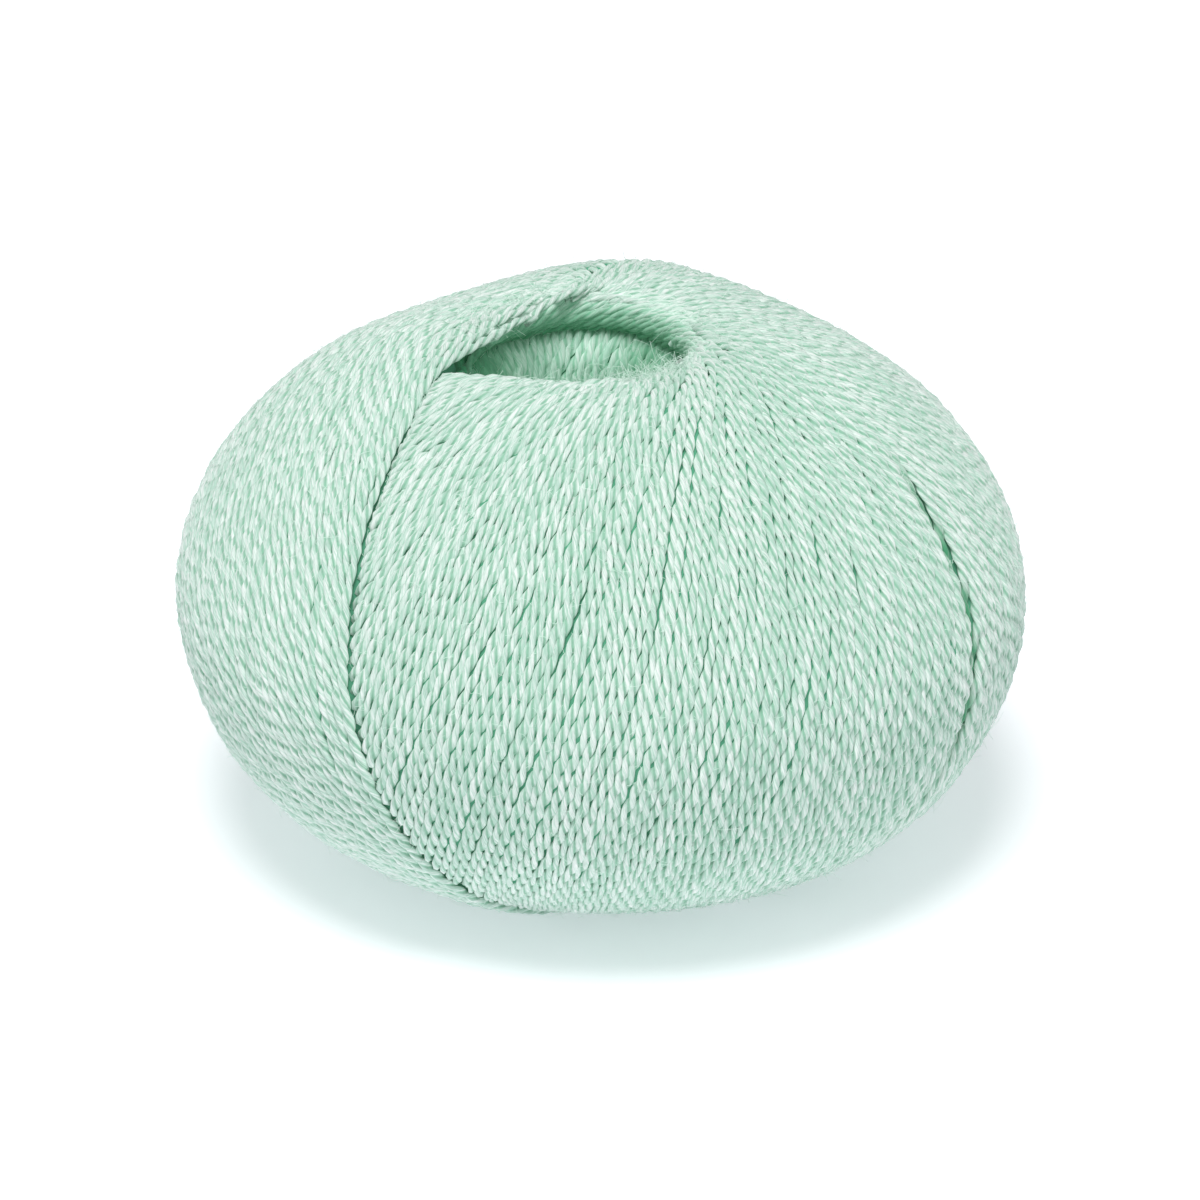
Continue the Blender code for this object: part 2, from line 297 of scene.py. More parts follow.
def resampled(place, values, step):
    """The path's points and values at even steps along its length."""
    lengths = np.concatenate(([0.0], np.cumsum(np.linalg.norm(np.diff(place, axis=0), axis=1))))
    total = lengths[-1]
    number = max(2, int(round(total / step)) + 1)
    spots = np.linspace(0.0, total, number)
    columns = [np.interp(spots, lengths, column) for column in np.column_stack((place, *values)).T]
    return spots, np.array(columns).T


# Cross-section of a two-ply strand: two round plies with a gap between them at each side. For each corner
# its direction, its reach from the middle of the strand, and the direction it faces.
PLY_CORNERS = ((0.0, 1.0, 0.0), (48.0, 0.82, 78.0), (90.0, 0.46, 90.0), (132.0, 0.82, 102.0),
               (180.0, 1.0, 180.0), (228.0, 0.82, 258.0), (270.0, 0.46, 270.0), (312.0, 0.82, 282.0))
FUZZ_SOFTENING = 0.25  # how far the fuzz evens out the shading round a strand
FLANK_SHELTER = 0.30  # how sheltered from the light the underside of a strand is, where 1 is deep in the hole


class Strands:
    """Gathers strand tubes into the points, faces and UVs of one mesh."""

    def __init__(self):
        self.points = []
        self.normals = []
        self.quads = []
        self.caps = []
        self.uvs = []
        self.tints = []
        self.sheltered = []
        self.painted_shade = []
        self.roots = []
        self.ups = []
        self.total = 0

    def add(self, spots, middle, normal, radius, tint, phase, in_hole, painted_shade):
        """One closed tube along middle, its corners turning with the plies.

        in_hole, 1 deep in the hole, sets how much painted glow the strand takes, and the last argument
        sets how much painted shade of deep mint it takes, 1 at most."""
        number = len(middle)
        ahead = np.gradient(middle, axis=0)
        ahead /= np.linalg.norm(ahead, axis=1, keepdims=True)
        up = normal - ahead * np.sum(normal * ahead, axis=1, keepdims=True)
        up /= np.linalg.norm(up, axis=1, keepdims=True)
        aside = np.cross(ahead, up)
        turn = phase - spots / PLY_TURN * 2.0 * math.pi
        sides = len(PLY_CORNERS)
        corner_angles = np.radians([c[0] for c in PLY_CORNERS])
        corner_reach = np.array([c[1] for c in PLY_CORNERS])
        angle = turn[:, None] + corner_angles[None, :]
        reach = radius[:, None] * corner_reach[None, :]
        ring = middle[:, None, :] + up[:, None, :] * (reach * np.cos(angle))[..., None]
        ring += aside[:, None, :] * (reach * np.sin(angle))[..., None]
        start = self.total
        self.points.append(ring.reshape(-1, 3))
        faces_to = turn[:, None] + np.radians([c[2] for c in PLY_CORNERS])[None, :]
        facing = up[:, None, :] * (np.cos(faces_to) + FUZZ_SOFTENING)[..., None]
        facing += aside[:, None, :] * np.sin(faces_to)[..., None]
        self.normals.append((facing / np.linalg.norm(facing, axis=2, keepdims=True)).reshape(-1, 3))
        self.roots.append(middle + up * radius[:, None])
        self.ups.append(up)
        rows = np.arange(number - 1)[:, None]
        columns = np.arange(sides)[None, :]
        nexts = (columns + 1) % sides
        a = start + rows * sides + columns
        b = start + rows * sides + nexts
        c = start + (rows + 1) * sides + nexts
        d = start + (rows + 1) * sides + columns
        self.quads.append(np.stack((a, b, c, d), -1).reshape(-1, 4))
        self.caps.append(start + np.arange(sides)[::-1])
        self.caps.append(start + (number - 1) * sides + np.arange(sides))
        u0 = np.broadcast_to(spots[:-1, None], (number - 1, sides)) / MM
        u1 = np.broadcast_to(spots[1:, None], (number - 1, sides)) / MM
        v0 = np.broadcast_to(columns / sides, (number - 1, sides))
        v1 = v0 + 1.0 / sides
        uv = np.stack((np.stack((u0, v0), -1), np.stack((u0, v1), -1), np.stack((u1, v1), -1),
                       np.stack((u1, v0), -1)), 2)
        self.uvs.append(uv.reshape(-1, 2))
        self.tints.append(np.full(number * sides, tint))
        # Painted glow: the undersides of the strands, where shade falls, and the strands deep in the hole get
        # a mask for it.
        flank = smooth_step(-np.cos(angle), -0.85, -0.30)
        sheltered = FLANK_SHELTER * flank + (1.0 - FLANK_SHELTER) * np.reshape(in_hole, (-1, 1))
        self.sheltered.append(sheltered.ravel())
        self.painted_shade.append(np.repeat(np.broadcast_to(painted_shade, number), sides))
        self.total += number * sides

    def build(self, name):
        """The gathered tubes as one object."""
        points = np.concatenate(self.points)
        quads = np.concatenate(self.quads)
        caps = np.concatenate(self.caps)
        sides = len(PLY_CORNERS)
        mesh = bpy.data.meshes.new(name)
        mesh.vertices.add(len(points))
        mesh.vertices.foreach_set("co", points.astype(np.float32).ravel())
        corners = np.concatenate((quads.ravel(), caps))
        mesh.loops.add(len(corners))
        mesh.loops.foreach_set("vertex_index", corners.astype(np.int32))
        cap_starts = len(quads) * 4 + np.arange(len(self.caps)) * sides
        starts = np.concatenate((np.arange(len(quads)) * 4, cap_starts))
        mesh.polygons.add(len(starts))
        mesh.polygons.foreach_set("loop_start", starts.astype(np.int32))
        mesh.update(calc_edges=True)
        layer = mesh.uv_layers.new(name="strand")
        uv = np.concatenate((np.concatenate(self.uvs), np.zeros((len(caps), 2))))
        layer.data.foreach_set("uv", uv.astype(np.float32).ravel())
        shading = (("tint", self.tints), ("sheltered", self.sheltered), ("painted_shade", self.painted_shade))
        for attribute, values in shading:
            stored = mesh.attributes.new(attribute, "FLOAT", "POINT")
            stored.data.foreach_set("value", np.concatenate(values).astype(np.float32))
        mesh.polygons.foreach_set("use_smooth", np.ones(len(starts), bool))
        mesh.validate()
        mesh.normals_split_custom_set_from_vertices(np.concatenate(self.normals).tolist())
        piece = bpy.data.objects.new(name, mesh)
        bpy.context.scene.collection.objects.link(piece)
        return piece


def wander(number, step, reach, size):
    """Smooth random drift along a strand, of a size, over a reach along it."""
    knots = max(4, int(number * step / reach) + 3)
    values = rng.normal(0.0, size, knots)
    return np.interp(np.linspace(0, knots - 1, number), np.arange(knots), values)


def stretches(shown):
    """Start and end of each shown stretch of a strand that is long enough to draw."""
    ends = np.flatnonzero(np.diff(np.concatenate(([0], shown.astype(int), [0]))))
    return [(start, stop) for start, stop in ends.reshape(-1, 2) if stop - start >= SHORTEST]


SUNK_DEPTH = 0.95 * MM  # a strand that has no room at the surface lies this much deeper
COVERED_DEPTH = 1.1 * MM  # and one under newer turns this much
OUT_OF_SIGHT = 0.93 * MM  # a strand this much deeper than the others isn't drawn
SWELL_DEPTH = 0.8 * STRAND_RADIUS  # a strand of twice the thickness lies this much deeper
SHORTEST = 6  # steps of the shortest stretch that is drawn
UPS_AND_DOWNS = (6.0 * MM, 0.07 * MM)  # reach along the strand and size of each unevenness
SWAY = (5.0 * MM, 0.09 * MM)
THICK_AND_THIN = (2.2 * MM, 0.07)
UNEVEN_TWIST = (8.0 * MM, 0.7)
# Near the hole at the top, climbing halves that would stand off the form by more than LOOSEST end, apart from
# those of the newest loops, which are drawn tight across the end of the hole. At the base all halves do.
NEAR_TOP = 18.0 * MM  # above the widest level
NEAR_BASE = -0.85  # rise of the loop
LOOSEST = 0.25 * MM
BRIDGING = 14  # newest loops
# The strands in the groove are painted a deeper mint there, as shade.
GROOVE_SHADE = 0.95  # how much of the deep mint the strands take on in the groove


def lay_strand(strands, index, first, last, step, covered):
    """Adds one strand's visible stretches. covered gives how far under other turns each point lies."""
    along, place, normal, deep, full = loop_path(index, first, last)
    hidden = covered(along, place, 1.0 if index < LOOPS // 2 else 0.0)
    groove = in_groove(place, GROOVE_WIDTH)
    depth = STRAND_DEPTH + SUNK_DEPTH * deep + COVERED_DEPTH * hidden + GROOVE_DEPTH * groove
    middle = place - normal * (depth + SWELL_DEPTH * (full - 1.0))[:, None]
    spots, table = resampled(middle, (normal, depth, full, np.sin(along), groove), step)
    middle = table[:, :3]
    normal = table[:, 3:6]
    depth, full, rise, groove = table[:, 6:].T
    number = len(spots)
    middle = middle + normal * wander(number, step, *UPS_AND_DOWNS)[:, None]
    across = np.cross(np.gradient(middle, axis=0), normal)
    across /= np.linalg.norm(across, axis=1, keepdims=True)
    middle = middle + across * wander(number, step, *SWAY)[:, None]
    radius = STRAND_RADIUS * full * (1.0 + wander(number, step, *THICK_AND_THIN))
    shown = depth < STRAND_DEPTH + OUT_OF_SIGHT
    near_top = (middle[:, 2] > CENTRE.z + NEAR_TOP) & (first < 0.0) & (index >= BRIDGING)
    for spot in np.flatnonzero(shown & (near_top | (rise < NEAR_BASE))):
        nearest, facing, face, distance = surface.find_nearest(Vector(middle[spot]))
        shown[spot] = (Vector(middle[spot]) - nearest).dot(facing) < LOOSEST
    phase = rng.uniform(0.0, FULL_TURN) + wander(number, step, *UNEVEN_TWIST)
    tint = rng.uniform(0.0, 1.0)
    for start, stop in stretches(shown):
        part = slice(start, stop)
        # In the groove the strands take the painted shade of deep mint.
        strands.add(spots[part], middle[part], normal[part], radius[part], tint, phase[part], 0.0,
                    GROOVE_SHADE * groove[part])


# Where the turns meet the newest loop, in millimetres from its plane: where they end at the back, how much
# sooner they end at the left front, and half the stretch over which they dip under.
CLIMBING_END = (0.7, 1.25, 0.45)
FALLING_END = (0.9, 1.3, 0.6)
PROUD = 0.30  # how far the falling turns stand out along the newest edge, as a share of COVERED_DEPTH
PROUD_REACH = 1.5 * MM
FRONT_REACH = 4.0 * MM  # half the stretch over which the left front gives way to the back
DIPS_AFTER_TOP = (0.10, 0.45)  # turn past the top over which a climbing half dips under the newer turns
OLDER_DIPS_AFTER_TOP = (-0.05, 0.2)


def edge_limits(place):
    """Distance past the newest loop's plane, and 1 at the left front, where its falling half lies uppermost.

    At the back it is the climbing half that lies uppermost."""
    facing = EDGE + math.pi
    away = place - np.array(CENTRE)
    aside = -away[:, 0] * math.sin(facing) + away[:, 1] * math.cos(facing)
    ahead = away[:, 0] * math.cos(EDGE) + away[:, 1] * math.sin(EDGE)
    beyond = aside * math.cos(EDGE_LEAN) - away[:, 2] * math.sin(EDGE_LEAN)
    return beyond, smooth_step(ahead, -FRONT_REACH, FRONT_REACH)


def climbing_cover(along, place, newer):
    """Where a climbing half lies under newer turns: past the hole, and beyond the newest loop."""
    past_top = smooth_step(along, *(QUARTER_TURN + turn for turn in DIPS_AFTER_TOP))
    older_past_top = smooth_step(along, *(QUARTER_TURN + turn for turn in OLDER_DIPS_AFTER_TOP))
    beyond, front = edge_limits(place)
    back_end, sooner, half = CLIMBING_END
    limit = (back_end - sooner * front) * MM
    past_top = past_top + (1.0 - newer) * older_past_top
    return past_top + smooth_step(beyond, limit - half * MM, limit + half * MM)


def falling_cover(along, place, newer):
    """Where a falling half lies under newer turns: everywhere but beyond the newest loop."""
    beyond, front = edge_limits(place)
    back_end, sooner, half = FALLING_END
    limit = (back_end - sooner * front) * MM
    proud = PROUD * np.exp(-np.abs(beyond) / PROUD_REACH) * front
    return 1.0 - smooth_step(beyond, limit - half * MM, limit + half * MM) - proud


def linear(hex_colour):
    """Linear colour of an sRGB hex value."""
    values = [int(hex_colour[i:i + 2], 16) / 255.0 for i in (1, 3, 5)]
    return (*[v / 12.92 if v <= 0.04045 else ((v + 0.055) / 1.055) ** 2.4 for v in values], 1.0)


def add_node(tree, kind, links=(), **settings):
    """A node with its settings; links are (input, source socket), and inputs given as a value are set."""
    node = tree.nodes.new(kind)
    for key, value in settings.items():
        setattr(node, key, value)
    for socket, source in links:
        if isinstance(source, bpy.types.NodeSocket):
            tree.links.new(source, node.inputs[socket])
        else:
            node.inputs[socket].default_value = source
    return node


SHADED_PLY = "#B0D4C3"
PALE_PLY = "#ECF4F0"
PLY_GAP_SHADE = "#93C6AC"
PAINTED_SHADE_MINT = "#3F9A6C"
FIBRE_GLOW = "#A8F2CA"
FIBRE_SCALE = (0.45, 2.9, 2.9)  # noise cells for each millimetre along the strand, and for its radius across
FIBRE_RELIEF = 0.12 * MM
OWN_FIBRES = 300.0  # millimetres that part the fibres of two strands in the noise
OWN_SHADE = 0.10  # how much lighter the lightest strand is than the darkest
SHADES = (0.43, 0.69)  # values of the fibre noise that give the shaded and the pale ply
GAP_EDGE = 0.2  # cosine at which the gap between the plies starts
GLOW_IN_SHELTER = 0.15


def spun_mint_wool():
    """Two-ply wool, spun and dyed: matt pale plies with fine fibres along them and painted shade between
    them.
    """
    material = bpy.data.materials.new("spun_mint_wool")
    material.use_nodes = True
    tree = material.node_tree
    shader = tree.nodes["Principled BSDF"]
    uv = add_node(tree, "ShaderNodeUVMap", uv_map="strand")
    parts = add_node(tree, "ShaderNodeSeparateXYZ", [(0, uv.outputs[0])])
    along = parts.outputs[0]  # millimetres along the strand
    tint = add_node(tree, "ShaderNodeAttribute", attribute_name="tint").outputs["Fac"]
    around = add_node(tree, "ShaderNodeMath", [(0, parts.outputs[1]), (1, FULL_TURN)], operation="MULTIPLY")
    # The two gaps between the plies lie a quarter and three quarters of the way round.
    # A deeper mint is painted in them as shade.
    doubled = add_node(tree, "ShaderNodeMath", [(0, around.outputs[0]), (1, 2.0), (2, -math.pi)],
                       operation="MULTIPLY_ADD")
    gap = add_node(tree, "ShaderNodeMath", [(0, doubled.outputs[0])], operation="COSINE")
    painted_gap_shade = add_node(tree, "ShaderNodeMapRange",
                      [(0, gap.outputs[0]), (1, GAP_EDGE), (2, 1.0), (3, 0.0), (4, 1.0)])
    # Fibres: streaks about 0.2 mm wide and 2 mm long, along the plies. Single fibres are ten times finer,
    # too fine to show, so these are drawn coarser than real.
    across_x = add_node(tree, "ShaderNodeMath", [(0, around.outputs[0])], operation="COSINE")
    across_y = add_node(tree, "ShaderNodeMath", [(0, around.outputs[0])], operation="SINE")
    own = add_node(tree, "ShaderNodeMath", [(0, tint), (1, OWN_FIBRES), (2, along)], operation="MULTIPLY_ADD")
    place = add_node(tree, "ShaderNodeCombineXYZ", [(0, own.outputs[0]), (1, across_x.outputs[0]),
                                                    (2, across_y.outputs[0])])
    stretched = add_node(tree, "ShaderNodeMapping", [(0, place.outputs[0]), (3, FIBRE_SCALE)])
    fibres = add_node(tree, "ShaderNodeTexNoise", [("Vector", stretched.outputs[0]), ("Scale", 1.0),
                                                   ("Detail", 3.0), ("Roughness", 0.65)])
    # Each strand has its own shade, a little lighter or darker than the next.
    own_shade = add_node(tree, "ShaderNodeMath", [(0, tint), (1, OWN_SHADE), (2, fibres.outputs[0])],
                         operation="MULTIPLY_ADD")
    pale = add_node(tree, "ShaderNodeMapRange",
                    [(0, own_shade.outputs[0]), (1, SHADES[0]), (2, SHADES[1]), (3, 0.0), (4, 1.0)])
    ply = add_node(tree, "ShaderNodeMix",
                   [(0, pale.outputs[0]), (6, linear(SHADED_PLY)), (7, linear(PALE_PLY))], data_type="RGBA")
    both = add_node(tree, "ShaderNodeMix",
                    [(0, painted_gap_shade.outputs[0]), (6, ply.outputs[2]), (7, linear(PLY_GAP_SHADE))], data_type="RGBA")
    # Painted shade: a deeper mint under the lips, at the ends of the hole and in the groove.
    painted_shade = add_node(tree, "ShaderNodeAttribute", attribute_name="painted_shade").outputs["Fac"]
    colour = add_node(tree, "ShaderNodeMix",
                      [(0, painted_shade), (6, both.outputs[2]), (7, linear(PAINTED_SHADE_MINT))], data_type="RGBA")
    tree.links.new(colour.outputs[2], shader.inputs["Base Color"])
    bump = add_node(tree, "ShaderNodeBump", [("Strength", 0.8), ("Distance", FIBRE_RELIEF),
                                             ("Height", fibres.outputs[0])])
    tree.links.new(bump.outputs[0], shader.inputs["Normal"])
    # Painted glow, standing in for light that the fibres pass on, where a strand is sheltered from the lamp.
    sheltered = add_node(tree, "ShaderNodeAttribute", attribute_name="sheltered").outputs["Fac"]
    painted_glow = add_node(tree, "ShaderNodeMapRange",
                         [(0, sheltered), (1, 0.0), (2, 1.0), (3, 0.0), (4, GLOW_IN_SHELTER)])
    tree.links.new(painted_glow.outputs[0], shader.inputs["Emission Strength"])
    shader.inputs["Emission Color"].default_value = linear(FIBRE_GLOW)
    material.cycles.emission_sampling = "NONE"
    shader.inputs["Roughness"].default_value = 0.9
    shader.inputs["Specular IOR Level"].default_value = 0.15
    shader.inputs["Sheen Weight"].default_value = 0.3
    shader.inputs["Sheen Roughness"].default_value = 0.5
    return material


def finish_piece(piece, material):
    """Gives a piece its material and its body, and hides the CAD node that it stands for."""
    piece.data.materials.append(material)
    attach(piece, "root")
    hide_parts("yarn_ball")


PAST_HOLE = 0.5  # how far past the top a climbing half is followed before it has dipped under
PAST_HOLE_FRONT = 0.22
OLDER = 56  # older loops that still show beside the hole
UNDER_EDGE = 14  # older falling halves that still show below the newest loop at the back
FINE = 0.62 * MM  # length of a step along the strands that the camera sees best
COARSE = 0.78 * MM
CLIMB = (-QUARTER_TURN, QUARTER_TURN + PAST_HOLE)
CLIMB_FRONT = (-QUARTER_TURN, QUARTER_TURN + PAST_HOLE_FRONT)
FALL = (QUARTER_TURN, 3 * QUARTER_TURN)
# For each group of turns: its strands, the stretch of each loop that is drawn, its step, and what covers it.
TURNS = (
    ("front_turns", range(LOOPS // 2, LOOPS), CLIMB_FRONT, FINE, climbing_cover),
    ("right_turns", range(0, LOOPS // 2), CLIMB, COARSE, climbing_cover),
    ("newest_turns_left", range(0, LOOPS // 2), FALL, FINE, falling_cover),
    ("newest_turns_back", range(LOOPS // 2, LOOPS + UNDER_EDGE), FALL, COARSE, falling_cover),
    ("rim_turns", range(LOOPS, LOOPS + OLDER), CLIMB_FRONT, FINE, climbing_cover),
)
wool = spun_mint_wool()
wound = []
for name, indices, (first, last), step, covered in TURNS:
    strands = Strands()
    for index in indices:
        lay_strand(strands, index, first, last, step, covered)
    wound.append(strands)
    finish_piece(strands.build(name), wool)

# -----------------------------------------------------------------------------------------------------------
# The wall of the hole. The oldest turns of the same strand show there, wound round the winder's spindle and
# leaning like the front ones. At both ends they bend outward and pass under the lips.
HOLE_STRANDS = 72
HOLE_UNEVEN = 0.012  # radians that a strand lies beside its even place
HOLE_LEAN = math.radians(33.0)
HOLE_RADIUS = 12.4 * MM
WIDEST_HOLE = 15.0 * MM
HOLE_BASE = -27.0 * MM  # ends of the wall's strands, from the ball's widest level
HOLE_TOP = 28.0 * MM
HOLE_STEPS = 100
WALL_EVENED = 2.0  # steps over which the wall is evened out
WALL_DEPTH = 0.45 * MM  # middle of a strand behind the wall's surface
UNDER_LIP = 6.5 * MM  # the strands bend outward over this height to pass under the lip
LIP_BEND = 3.0 * MM
WALL_SWAY = (4.0 * MM, 0.16 * MM)
WALL_UPS_AND_DOWNS = (4.0 * MM, 0.12 * MM)
WALL_THICKNESS = 1.2  # as a share of STRAND_RADIUS
WALL_THICK_AND_THIN = (2.5 * MM, 0.08)
# Levels, and turns round the hole as a cosine, over which the light ends, and with it the painted glow,
# and the painted shade of deep mint sets in.
LIGHT_ENDS = (23.0 * MM, 25.6 * MM)
LIP_SHADE = (23.8 * MM, 25.8 * MM)
LEFT_SHADE = ((0.60, 0.92), (14.0 * MM, 21.0 * MM))
RIGHT_SHADE = ((0.22, 0.60), (12.0 * MM, 18.0 * MM))
RIGHT_SHADE_DEPTH = 0.6


def wall_strand(strands, angle):
    """Adds one strand up the wall of the hole."""
    heights = np.linspace(HOLE_BASE, HOLE_TOP, HOLE_STEPS)
    axis_x = CENTRE.x + HOLE_SHIFT * smooth_step(heights / HOLE_TOP, *SHIFT_RISE)
    angles = angle - heights * math.tan(HOLE_LEAN) / HOLE_RADIUS
    wall = np.full(HOLE_STEPS, HOLE_RADIUS)
    for index, (x, height, turn) in enumerate(zip(axis_x, heights, angles)):
        start = Vector((x, CENTRE.y, CENTRE.z + height))
        place, normal, face, length = surface.ray_cast(start, Vector((math.cos(turn), math.sin(turn), 0.0)))
        wall[index] = min(length, WIDEST_HOLE) if place else HOLE_RADIUS
    wall = smoothed(wall, 0, WALL_EVENED, False)
    bend = smooth_step(heights, HOLE_TOP - UNDER_LIP, HOLE_TOP) - smooth_step(
        -heights, -HOLE_BASE - UNDER_LIP, -HOLE_BASE)
    radius = wall - WALL_DEPTH + LIP_BEND * np.abs(bend)
    outward = np.stack((np.cos(angles), np.sin(angles), np.zeros(HOLE_STEPS)), -1)
    middle = np.stack((axis_x, np.zeros(HOLE_STEPS), CENTRE.z + heights), -1) + outward * radius[:, None]
    # Painted glow on the wall, ending under the lip, and painted shade of deep mint under the lip and at the
    # hole's ends.
    open_to_light = 1.0 - smooth_step(heights, *LIGHT_ENDS)
    left_end = smooth_step(-np.cos(angles), *LEFT_SHADE[0]) * smooth_step(heights, *LEFT_SHADE[1])
    right_end = smooth_step(np.cos(angles), *RIGHT_SHADE[0]) * smooth_step(heights, *RIGHT_SHADE[1])
    sides_shade = np.maximum(left_end, RIGHT_SHADE_DEPTH * right_end)
    painted_shade = np.maximum(smooth_step(heights, *LIP_SHADE), sides_shade)
    spots, table = resampled(middle, (-outward, open_to_light, painted_shade), COARSE)
    middle = table[:, :3]
    normal = table[:, 3:6]
    number = len(spots)
    across = np.cross(np.gradient(middle, axis=0), normal)
    across /= np.linalg.norm(across, axis=1, keepdims=True)
    middle = middle + across * wander(number, COARSE, *WALL_SWAY)[:, None]
    middle = middle + normal * wander(number, COARSE, *WALL_UPS_AND_DOWNS)[:, None]
    thick = STRAND_RADIUS * (WALL_THICKNESS + wander(number, COARSE, *WALL_THICK_AND_THIN))
    phase = rng.uniform(0.0, FULL_TURN) + wander(number, COARSE, *UNEVEN_TWIST)
    strands.add(spots, middle, normal, thick, rng.uniform(0.0, 1.0), phase, table[:, 6], table[:, 7])


wall_strands = Strands()
for angle in np.arange(HOLE_STRANDS) * FULL_TURN / HOLE_STRANDS + rng.normal(0.0, HOLE_UNEVEN, HOLE_STRANDS):
    wall_strand(wall_strands, angle)
finish_piece(wall_strands.build("hole_turns"), wool)

# -----------------------------------------------------------------------------------------------------------
# The rolled lips of the hole. Where the turns come together round each end of the hole they heap up in a soft
# roll. Strands come over it at a slant and run down into the hole.
LIP_STRANDS = 40
LIP_UNEVEN = 0.02  # radians that a strand lies beside its even place
LIP_TRAVEL = math.radians(150.0)  # way round the hole that a strand takes from the crest to under the lip
ROLL_MIDDLE = (16.0 * MM, 27.0 * MM)  # inside the roll, from the hole's axis and from the widest level
ROLL_REACH = 9.0 * MM  # outside the roll
ROLL_RADIUS = 4.0 * MM  # where no surface is found
ROLL_EVENED = (1.6, 2.0)  # samples over which the lip is evened out, round the hole and over the roll
LIP_STEPS = 60
LIP_ROUND = 120
LIP_START = math.radians(68.0)  # direction from the roll's middle at the crest, and at the lip's underside
LIP_END = math.radians(205.0)
LIP_GAP = (math.radians(158.0), math.radians(212.0))  # left end, where the newest turns lie over the lip
GAP_TO = 0.88  # share of its way from the crest from which a strand shows again there
LIP_DEPTH = 0.45 * MM
CREST_DEPTH = 0.9 * MM  # how much deeper the strands start, under those that come up to the crest
CREST_END = 0.25  # share of the way from the crest where they have risen to the surface
LIP_UPS_AND_DOWNS = (5.0 * MM, 0.10 * MM)
LIP_THICKNESS = 0.84  # as a share of STRAND_RADIUS
LIP_THICK_AND_THIN = (3.0 * MM, 0.06)
# Shares of the way from the crest over which the light goes and a painted glow sets in, the light comes
# back and the glow ends, and the painted shade of deep mint sets in.
DARK_FROM = (0.2, 0.5)
LIGHT_FROM = (0.82, 1.0)
DEEP_FROM = (0.48, 0.92)
LIP_SHELTER = 0.9
TOP_SHADE = 0.85  # how much of the deep mint the strands take on under the lip
BASE_SHADE = 0.5


def roll_point(turn, slope, top):
    """Middle of the roll beside a point of the lip, and the direction from it to that point."""
    side = np.array((math.cos(turn), math.sin(turn), 0.0))
    away = side * math.cos(slope) + np.array((0.0, 0.0, math.sin(slope) * top))
    axis_x = CENTRE.x + HOLE_SHIFT * (top + 1) / 2
    inside = np.array((axis_x, CENTRE.y, CENTRE.z + ROLL_MIDDLE[1] * top)) + side * ROLL_MIDDLE[0]
    return inside, away


def roll_map(top):
    """How far the lip's surface is from the middle of the roll, by way round the hole and by slope."""
    far = np.zeros((LIP_ROUND, LIP_STEPS))
    for row in range(LIP_ROUND):
        for column, slope in enumerate(np.linspace(LIP_START, LIP_END, LIP_STEPS)):
            inside, away = roll_point(row * FULL_TURN / LIP_ROUND, slope, top)
            place, normal, face, length = surface.ray_cast(Vector(inside + away * ROLL_REACH), Vector(-away))
            far[row, column] = ROLL_REACH - length if place else ROLL_RADIUS
    return smoothed(smoothed(far, 0, ROLL_EVENED[0], True), 1, ROLL_EVENED[1], False)


def lip_strand(strands, angle, top, far):
    """Adds one strand over the lip. top is 1 at the top of the ball and -1 at its base."""
    share = np.linspace(0.0, 1.0, LIP_STEPS)
    angles = angle + LIP_TRAVEL * share * top
    slopes = LIP_START + (LIP_END - LIP_START) * share
    places = np.zeros((LIP_STEPS, 3))
    normals = np.zeros((LIP_STEPS, 3))
    for index, (turn, slope) in enumerate(zip(angles, slopes)):
        row = turn / FULL_TURN * LIP_ROUND
        low = math.floor(row)
        here = far[low % LIP_ROUND, index] * (low + 1 - row) + far[(low + 1) % LIP_ROUND, index] * (row - low)
        inside, away = roll_point(turn, slope, top)
        places[index] = inside + away * here
        normals[index] = away
    depth = LIP_DEPTH + CREST_DEPTH * (1.0 - smooth_step(share, 0.0, CREST_END))
    places -= normals * depth[:, None]
    spots, table = resampled(places, (normals, share), FINE)
    number = len(spots)
    normal = table[:, 3:6]
    share = table[:, 6]
    # Painted glow where the lip's strands turn away from the light.
    in_hole = LIP_SHELTER * smooth_step(share, *DARK_FROM) * (1.0 - smooth_step(share, *LIGHT_FROM))
    # Painted shade of deep mint on the lip's underside.
    painted_shade = smooth_step(share, *DEEP_FROM) * (TOP_SHADE if top > 0 else BASE_SHADE)
    middle = table[:, :3] + normal * wander(number, FINE, *LIP_UPS_AND_DOWNS)[:, None]
    thick = STRAND_RADIUS * (LIP_THICKNESS + wander(number, FINE, *LIP_THICK_AND_THIN))
    phase = rng.uniform(0.0, FULL_TURN) + wander(number, FINE, *UNEVEN_TWIST)
    way = np.mod(angle + LIP_TRAVEL * share * top, FULL_TURN)
    shown = (way < LIP_GAP[0]) | (way > LIP_GAP[1]) | (top < 0) | (share > GAP_TO)
    tint = rng.uniform(0.0, 1.0)
    for start, stop in stretches(shown):
        part = slice(start, stop)
        strands.add(spots[part], middle[part], normal[part], thick[part], tint, phase[part], in_hole[part],
                    painted_shade[part])


lip_strands = Strands()
for top in (1, -1):
    roll = roll_map(top)
    for angle in np.arange(LIP_STRANDS) * FULL_TURN / LIP_STRANDS + rng.normal(0.0, LIP_UNEVEN, LIP_STRANDS):
        lip_strand(lip_strands, angle, top, roll)
finish_piece(lip_strands.build("lip_turns"), wool)

